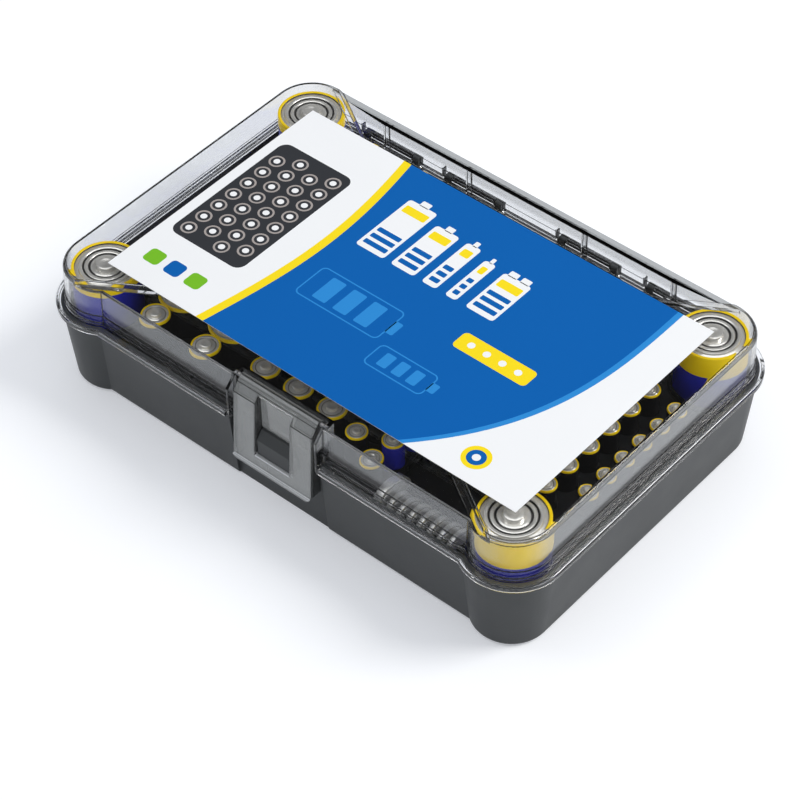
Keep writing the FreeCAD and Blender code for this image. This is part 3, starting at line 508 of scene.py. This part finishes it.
# radius, rim, how far the top is sunk, stud radius, how far the stud stands over the rim, and how
# many sides the round has
AAA_CELL = (5.25, 0.7, 0.6, 1.9, 0.8, 32)
CELLS = {"d_cells": (16.7, 1.5, 1.2, 4.75, 1.5, 72), "c_cells": (13.0, 1.2, 1.0, 3.75, 1.5, 56),
         "aa_cells": (7.1, 0.9, 0.7, 2.75, 1.0, 40), "aaa_cells": AAA_CELL,
         "end_aaa_cells": AAA_CELL, "aaaa_cells": (4.15, 0.6, 0.5, 1.6, 0.8, 28)}
# a cell with a greater radius has the more detailed end
LARGE_RADIUS = 10

# how far the yellow comes down each cell, and each D cell by (on the right, at the back)
BANDS = {"c_cells": 1.6, "aa_cells": 1.3, "aaa_cells": 1.1, "end_aaa_cells": 1.1,
         "aaaa_cells": 1.0}
D_BANDS = {(False, False): 4.5, (False, True): 6.0, (True, False): 15.0, (True, True): 12.0}

# the rings pressed into a cell's end: share of the way in to the stud, and height
LARGE_RINGS = ((0.17, 0.6), (0.21, 1.15), (0.24, 1.2), (0.33, 1.2), (0.36, 1.0), (0.39, 0.3),
               (0.43, 0.25), (0.46, 0.8), (0.49, 0.9), (0.6, 0.9), (0.63, 0.75), (0.66, 0.28),
               (0.7, 0.25), (0.74, 0.6), (0.84, 0.75), (0.92, 0.7))
SMALL_RINGS = ((0.3, 0.4), (0.36, 0.22), (0.46, 0.22), (0.54, 0.4), (0.75, 0.42))
# the stretches of the end's profile that are grooves, which get dark steel as painted shade
LARGE_GROOVES, SMALL_GROOVES = (8, 9, 10, 14, 15, 16), (5,)

# the AAA cells between the first two lines and right of the third have blue jackets, in metres
BLUE_FRONT, BLUE_BACK, BLUE_LEFT = -0.065, -0.045, 0.04

# the material slots of a sleeve
WRAP, BAND, FOOT, SEAL_RING, BLUE_WRAP = range(5)


def jacket_profile(radius, back_rim_light, sink, height, band):
    """The sleeve from the foot up, over the shoulder and down inside the rim."""
    return [(0, 0.6), (radius * 0.6, 0.6), (radius * 0.66, 0.1), (radius - 0.6, 0),
            (radius - 0.15, 0.15), (radius, 0.6), (radius, height - band), (radius, height - 0.55),
            (radius - 0.1, height - 0.2), (radius - 0.3, height), (radius - back_rim_light + 0.25, height),
            (radius - back_rim_light + 0.05, height - 0.12), (radius - back_rim_light, height - 0.35),
            (radius - back_rim_light, height - sink), (0, height - sink)]


def cap_profile(radius, back_rim_light, sink, stud, rise, height, rings):
    """The pressed steel end: a sloping flange, its rings and a stud with a dished top."""
    seat = height - sink
    edge = radius - back_rim_light - 0.05
    top = height + rise
    return [(0, seat), (edge, seat), (edge, seat + 0.3), (edge - 0.15, seat + 0.42),
            *[(edge - share * (edge - stud), seat + lift) for share, lift in rings],
            (stud + 0.12, seat + 0.5), (stud, seat + 0.75), (stud, top - 0.35),
            (stud - 0.1, top - 0.1), (stud - 0.35, top), (stud * 0.55, top),
            (stud * 0.45, top - 0.12), (0, top - 0.14)]


def make_round_cells(node):
    radius, back_rim_light, sink, stud, rise, segments = CELLS[node]
    large = radius > LARGE_RADIUS
    rings, grooves = (LARGE_RINGS, LARGE_GROOVES) if large else (SMALL_RINGS, SMALL_GROOVES)
    sleeves = bmesh.new()
    caps = bmesh.new()
    for low, high in islands(node):
        height = (high.z - low.z) / MM
        place = foot_of(low, high)
        band = D_BANDS[(place.x > 0, place.y > 0)] if node == "d_cells" else BANDS[node]
        blue = (node == "aaa_cells" and place.x > BLUE_LEFT
                and BLUE_FRONT < place.y < BLUE_BACK)
        slots = ([FOOT] * 3 + [BLUE_WRAP if blue else WRAP] * 3 + [BAND] * 6 + [SEAL_RING] * 2)
        add_turned(sleeves, jacket_profile(radius, back_rim_light, sink, height, band), place, segments,
                   slots)
        shaded_ends = cap_profile(radius, back_rim_light, sink, stud, rise, height, rings)
        add_turned(caps, shaded_ends, place, segments,
                   [int(stretch in grooves) for stretch in range(len(shaded_ends) - 1)])
    sleeve = add_object(node.replace("cells", "sleeves"), sleeves)
    give(sleeve, BLUE if node == "d_cells" else BLACK, YELLOW, CELL_STEEL, SEAL, BLUE)
    cap = add_object(node.replace("cells", "steel_ends"), caps)
    # the dark steel in the grooves is painted shade
    give(cap, CELL_STEEL, DARK_STEEL)
    for piece, stands_for in ((sleeve, node), (cap, node.replace("cells", "cell_caps"))):
        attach(piece, "base")
        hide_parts(stands_for)


for cell_node in CELLS:
    make_round_cells(cell_node)


# Block batteries ------------------------------------------------------------------------------

# a snap narrower than this is the stud, and a wider one is the socket
STUD_RADIUS = 3.5
# the snaps go this far down into the block's top
SNAP_SINK = 0.7
STUD_SIDES, SOCKET_SIDES = 32, 12


def stud_profile(radius, height):
    return [(0, 0), (radius, 0), (radius, 0.9), (radius - 0.5, 1.2), (radius - 0.7, 1.6),
            (radius - 0.6, height - 0.8), (radius - 0.3, height - 0.4),
            (radius - 0.6, height - 0.05), (radius - 1.0, height), (0, height)]


def socket_profile(radius, height):
    return [(0, 0), (radius, 0), (radius, 0.5), (radius - 0.9, 0.9), (radius - 0.9, 1.4),
            (radius - 0.3, height - 0.5), (radius - 0.35, height - 0.1), (radius - 0.7, height),
            (radius - 1.1, height - 0.2), (2.6, 1.5), (0, 1.4)]


def make_blocks():
    bodies = bmesh.new()
    for low, high in islands("nine_volt_blocks"):
        place = foot_of(low, high)
        half_x, half_y = (high.x - low.x) / 2 / MM, (high.y - low.y) / 2 / MM
        height = (high.z - low.z) / MM
        layers = []
        # each outline's inset, corner radius and height
        for inset, corner, level in ((0.4, 1.9, 0), (0, 2.2, 0.5), (0, 2.2, height - 11.0),
                                     (0, 2.2, height - 0.8), (0.4, 1.9, height - 0.25),
                                     (1.0, 1.5, height - 0.2), (1.3, 1.3, height - 0.7)):
            outline = rounded(0, 0, half_x - inset, half_y - inset, corner)
            layers.append([place + Vector((x, y, level)) * MM for x, y in outline])
        add_stack(bodies, layers, [0] * 5 + [1])
    block = add_object("block_sleeves", bodies)
    give(block, BLUE, SEAL)
    snaps = bmesh.new()
    for low, high in islands("nine_volt_snaps"):
        place = foot_of(low, high) - Vector((0, 0, SNAP_SINK * MM))
        radius = (high.x - low.x) / 2 / MM
        height = (high.z - low.z) / MM + SNAP_SINK
        if radius < STUD_RADIUS:
            add_turned(snaps, stud_profile(radius, height), place, STUD_SIDES)
        else:
            add_turned(snaps, socket_profile(radius, height), place, SOCKET_SIDES)
    snap = add_object("block_snaps", snaps)
    give(snap, CELL_STEEL)
    for piece, stands_for in ((block, "nine_volt_blocks"), (snap, "nine_volt_snaps")):
        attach(piece, "base")
        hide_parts(stands_for)


make_blocks()


# Coin cells -----------------------------------------------------------------------------------

COIN_SIDES = 64


def coin_profile(radius, thick):
    """A coin cell from the middle of its can, round its edge and the seal to the middle of its
    cap."""
    return [(0, 0), (radius - 1.0, 0), (radius - 0.4, 0.1), (radius - 0.1, 0.35), (radius, 0.7),
            (radius, thick - 0.75), (radius - 0.25, thick - 0.5), (radius - 0.9, thick - 0.5),
            (radius - 0.95, thick - 0.42), (radius - 1.25, thick - 0.42),
            (radius - 1.3, thick - 0.5), (radius - 1.4, thick - 0.3),
            (radius - 1.9, thick - 0.05), (radius - 2.3, thick), (0, thick)]


def make_coin_cells():
    coins = bmesh.new()
    on_edge = Matrix.Rotation(math.pi / 2, 4, "Y")
    for low, high in islands("coin_cells"):
        profile = coin_profile((high.z - low.z) / 2 / MM, (high.x - low.x) / MM)
        place = Vector((low.x, (low.y + high.y) / 2, (low.z + high.z) / 2))
        add_turned(coins, profile, place, COIN_SIDES, [0] * 7 + [1] * 3 + [0] * 4, on_edge)
    coin = add_object("coin_cell_cans", coins)
    give(coin, COIN_STEEL, SEAL)
    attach(coin, "base")
    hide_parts("coin_cells")


make_coin_cells()


# Printed card on the lid ----------------------------------------------------------------------

# the white sheet starts this far over the card's underside and ends this far below its top, in mm
SHEET_LIFT, SHEET_DROP = 0.03, 0.06
# how far each layer of ink stands over the one below, how deep ink goes into the sheet, and how
# much deeper with each layer, in mm
INK_STEP, INK_DEPTH, INK_DEEPER = 0.015, 0.05, 0.005
BORDER_STEPS = 28


def make_print():
    """A generic design. Its places are in mm from the card's front left corner."""
    low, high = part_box("label_card")
    wide, deep = (high.x - low.x) / MM, (high.y - low.y) / MM
    sheet_top = high.z - SHEET_DROP * MM
    bm = bmesh.new()
    white, blue, light, yellow, dark, grey, green = range(7)

    def slab(points, bottom, top, ink):
        add_stack(bm, [[(low.x + x * MM, low.y + y * MM, level) for x, y in points]
                       for level in (bottom, top)], [ink])

    def patch(points, layer, ink):
        """A flat patch of ink; a higher layer covers a lower one."""
        slab(points, sheet_top - (INK_DEPTH + INK_DEEPER * layer) * MM,
             sheet_top + INK_STEP * layer * MM, ink)

    def discs(x, y, layer, *sizes):
        """Smaller discs on larger ones: each radius with its ink."""
        for step, (radius, ink) in enumerate(sizes):
            patch(circle(x, y, radius), layer + step, ink)

    def left_border(shift):
        """The curved border between the white panel and the blue field."""
        return [(56 + 10 * math.sin(share * math.pi * 0.9) + shift, deep * share)
                for share in shares]

    def right_border(shift):
        """The border of the white end, which sweeps out along the front."""
        return [(wide - (17 + 46 * (1 - share) ** 3 + shift), deep * share)
                for share in shares]

    shares = [step / BORDER_STEPS for step in range(BORDER_STEPS + 1)]
    slab([(0, 0), (wide, 0), (wide, deep), (0, deep)], low.z + SHEET_LIFT * MM, sheet_top, white)
    patch(right_border(0) + left_border(0)[::-1], 1, blue)
    patch(left_border(4.5) + left_border(0)[::-1], 2, yellow)
    patch(right_border(0) + right_border(3.0)[::-1], 2, light)

    # a dark tray of ringed dots on the white panel, and three tabs before it
    patch(rounded(28, 76, 22.5, 41.0, 5.0), 1, dark)
    for column in range(4):
        for line in range(7):
            y = 44.5 + 10.3 * line + (2.6 if column % 2 else -2.6)
            discs(12.2 + 10.5 * column, y, 2, (4.1, grey), (3.1, dark), (1.7, white))
    for index, ink in enumerate((green, blue, green)):
        patch(rounded(14 + 13 * index, 17, 4.6, 4.6, 2.2), 1, ink)

    # a row of white cells in five sizes on the blue field: place, width, height and studs
    row = 84
    for x, width, height, studs in ((88, 17, 40, 1), (108, 14, 34, 1), (124, 8.5, 34, 1),
                                    (137, 6.5, 30, 1), (154, 16, 29, 2)):
        patch(rounded(x, row + height / 2, width / 2, height / 2, 1.8), 2, white)
        for stud in range(studs):
            shift = (stud - (studs - 1) / 2) * width * 0.45
            patch(rounded(x + shift, row + height + 1.4, width * 0.16, 1.9, 0.7), 2, white)
        patch(rounded(x, row + height - 6.5, width / 2 - 1.6, 2.6, 0.8), 3, yellow)
        for bar in range(3):
            patch(rounded(x, row + 4.6 + 5.0 * bar, width / 2 - 1.6, 1.5, 0.6), 3, blue)

    # outlines of two lying cells, with bars inside them
    for x, y, half_x, half_y in ((104, 52, 25, 11), (150, 34, 17, 7.5)):
        patch(rounded(x + half_x + 1.6, y, 2.2, half_y * 0.4, 0.9), 2, light)
        patch(rounded(x, y, half_x, half_y, 3.0), 2, light)
        patch(rounded(x, y, half_x - 0.7, half_y - 0.7, 2.4), 3, blue)
        for bar in (-1, 0, 1):
            patch(rounded(x + bar * half_x * 0.5, y, half_x * 0.16, half_y - 3.0, 0.9), 4, light)

    # a yellow tab with white studs, and a yellow disc on the white end
    patch(rounded(178, 66, 21.0, 5.5, 2.4), 2, yellow)
    for stud in range(4):
        discs(164.5 + 9.0 * stud, 66, 3, (1.9, white))
    discs(wide - 33, 14, 1, (7.0, yellow), (4.6, blue), (2.0, white))

    item = add_object("printed_card", bm)
    give(item, *PRINT_INKS)
    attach(item, "lid")
    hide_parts("label_card")


make_print()


# Stage, light and camera ----------------------------------------------------------------------

FLOOR_HALF = 6.0
FLOOR_GLOW, FLOOR_GLOW_STRENGTH = (0.93, 0.945, 1.0), 0.31
SOFT_LIGHT, SOFT_STRENGTH = (0.92, 0.95, 1.0), 0.62
WHITE = (1.0, 1.0, 1.0)
# what gloss sees round the stage: share of the way up, and how bright
WALL_LEVELS = ((0.0, 1.0), (0.06, 1.0), (0.16, 0.1), (0.78, 0.07), (0.86, 1.9))

CAMERA_PLACE = (0.60454, -0.70350, 0.94894)
CAMERA_RIGHT = Vector((0.76152, 0.64810, -0.00774))
CAMERA_UP = Vector((-0.45965, 0.54843, 0.69853))
CAMERA_FORWARD = Vector((-0.45697, 0.52839, -0.71553))
# the sensor's width in mm, and the focal length and the width of the picture in pixels
SENSOR, FOCAL_PIXELS, PICTURE_PIXELS = 36.0, 2778.5, 800


def make_floor():
    bm = bmesh.new()
    for x, y in ((-1, -1), (1, -1), (1, 1), (-1, 1)):
        bm.verts.new((x * FLOOR_HALF, y * FLOOR_HALF, 0.0))
    bm.faces.new(bm.verts)
    floor = add_object("floor", bm)
    tree = new_tree("floor_white")
    tint = tree.mix(tree.noise(3.0, 2.0), (0.79, 0.8, 0.81), (0.81, 0.82, 0.83))
    cloth = tree.node("BsdfDiffuse", Color=tint).outputs[0]
    glow = tree.node("Emission", Color=FLOOR_GLOW, Strength=FLOOR_GLOW_STRENGTH).outputs[0]
    both = tree.node("AddShader")
    tree.links.new(cloth, both.inputs[0])
    tree.links.new(glow, both.inputs[1])
    path = tree.node("LightPath").outputs
    seen = tree.most(path["Is Camera Ray"], path["Is Transmission Ray"], path["Is Glossy Ray"])
    give(floor, tree.surface(tree.mix_shaders(seen, cloth, both.outputs[0])))


def make_world():
    """Even soft light. Gloss sees a white horizon, darker walls above it and a bright ceiling."""
    tree = Tree(bpy.data.worlds.new("studio"), "OutputWorld")

    def background(colour, strength):
        return tree.node("Background", Color=colour, Strength=strength).outputs[0]

    ramp = tree.node("ValToRGB")
    tree.links.new(tree.axes("Generated")["Z"], ramp.inputs[0])
    while len(ramp.color_ramp.elements) < len(WALL_LEVELS):
        ramp.color_ramp.elements.new(0.5)
    for element, (spot, level) in zip(ramp.color_ramp.elements, WALL_LEVELS):
        element.position = spot
        element.color = (level, level, level, 1)
    path = tree.node("LightPath").outputs
    gloss = tree.most(path["Is Glossy Ray"], path["Is Transmission Ray"])
    seen = tree.mix_shaders(gloss, background(SOFT_LIGHT, SOFT_STRENGTH),
                            background(ramp.outputs[0], 1.0))
    whole = tree.mix_shaders(path["Is Camera Ray"], seen, background(WHITE, 1.0))
    bpy.context.scene.world = tree.surface(whole)


def add_lamp(name, place, size, power, colour=WHITE):
    """A round lamp that points at the middle of the stage."""
    data = bpy.data.lights.new(name, "AREA")
    data.shape = "DISK"
    data.size = size
    data.energy = power
    data.color = colour
    lamp = bpy.data.objects.new(name, data)
    lamp.location = place
    lamp.rotation_euler = (-Vector(place)).to_track_quat("-Z", "Y").to_euler()
    bpy.context.scene.collection.objects.link(lamp)


def make_camera():
    data = bpy.data.cameras.new("camera")
    data.sensor_width = SENSOR
    data.lens = FOCAL_PIXELS / PICTURE_PIXELS * SENSOR
    camera = bpy.data.objects.new("camera", data)
    turn = Matrix((CAMERA_RIGHT, CAMERA_UP, -CAMERA_FORWARD)).transposed()
    camera.matrix_world = Matrix.Translation(CAMERA_PLACE) @ turn.to_4x4()
    bpy.context.scene.collection.objects.link(camera)
    bpy.context.scene.camera = camera


make_floor()
make_world()
add_lamp("key_lamp", (1.3, 1.1, 1.7), 1.1, 30.0, (1.0, 0.985, 0.96))
# a small weak lamp at the front left, for the glints on the steel
add_lamp("glint_lamp", (-0.62, -0.56, 1.22), 0.45, 1.3)
make_camera()
bpy.context.scene.view_settings.view_transform = "Standard"
